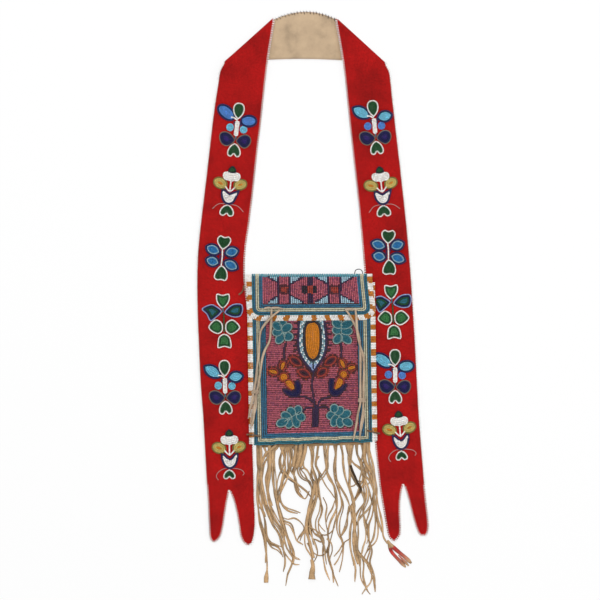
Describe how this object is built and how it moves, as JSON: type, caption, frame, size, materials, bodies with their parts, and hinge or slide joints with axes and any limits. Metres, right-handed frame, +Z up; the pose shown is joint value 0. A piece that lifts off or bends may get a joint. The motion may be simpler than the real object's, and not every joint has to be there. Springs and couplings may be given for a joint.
{
  "type": "beaded bandolier bag",
  "caption": "Beaded shoulder bag lying face up: a red cloth strap with bead flowers and forked ends, folded at the shoulders, over a flat flap pouch with a hide fringe.",
  "frame": {"origin": "middle of the pouch's back, on the surface that the bag lies on", "axes": "+X to the bag's right as seen, +Y towards the neck of the strap, +Z up, out of the beaded face"},
  "size_m": [0.2845, 0.7013, 0.0196],
  "materials": {
    "red_cloth": "red wool cloth with a short nap",
    "lining_cloth": "plain cotton, stained with age",
    "buckskin": "soft tanned hide",
    "pale_hide": "pale hide thong",
    "dark_hide": "dark worn hide thong and thread",
    "rose_beads": "opaque rose seed beads",
    "blue_beads": "opaque grey-blue seed beads with a cream line",
    "sky_beads": "opaque light blue seed beads",
    "white_beads": "opaque white seed beads with orange blocks",
    "green_beads": "opaque seed beads of several colours, mostly green",
    "teal_beads": "opaque teal seed beads",
    "gold_beads": "opaque gold seed beads",
    "purple_beads": "opaque dark purple seed beads"
  },
  "bodies": {
    "root": {"strap_cloth": "red_cloth", "strap_lining": "lining_cloth", "strap_edging_inner": "white_beads", "strap_edging_outer": "white_beads", "pouch_edging_left": "white_beads", "pouch_edging_right": "white_beads", "flap_edging": "white_beads", "left_strap_flower_1": "green_beads", "left_strap_flower_2": "green_beads", "left_strap_flower_3": "green_beads", "left_strap_flower_4": "green_beads", "left_strap_flower_5": "green_beads", "left_strap_flower_6": "green_beads", "right_strap_flower_1": "green_beads", "right_strap_flower_2": "green_beads", "right_strap_flower_3": "green_beads", "right_strap_flower_4": "green_beads", "right_strap_flower_5": "green_beads", "right_strap_flower_6": "green_beads", "pouch_back": "buckskin", "pouch_front": "buckskin", "flap": "buckskin", "fringe": "buckskin", "pouch_field": "rose_beads", "flap_field": "rose_beads", "pouch_border": "blue_beads", "flap_border": "blue_beads", "plant_bud": "gold_beads", "plant_bud_frame": "sky_beads", "plant_stem": "teal_beads", "plant_leaf_upper_left": "teal_beads", "plant_leaf_upper_right": "teal_beads", "plant_leaf_lower_left": "teal_beads", "plant_leaf_lower_right": "teal_beads", "plant_blossom_left": "purple_beads", "plant_blossom_right": "purple_beads", "flap_pattern": "purple_beads", "plant_small_leaf_1": "purple_beads", "plant_small_leaf_2": "purple_beads", "plant_small_leaf_3": "purple_beads", "plant_small_leaf_4": "purple_beads", "tie_left_inner": "pale_hide", "tie_left_outer": "pale_hide", "tie_right_inner": "pale_hide", "tie_right_outer": "pale_hide", "tie_knot_left": "pale_hide", "tie_knot_right": "pale_hide", "tie_corner_left": "dark_hide", "tie_corner_right": "dark_hide", "tie_upper_left": "dark_hide", "thread_loop": "dark_hide"}
  },
  "joints": []
}
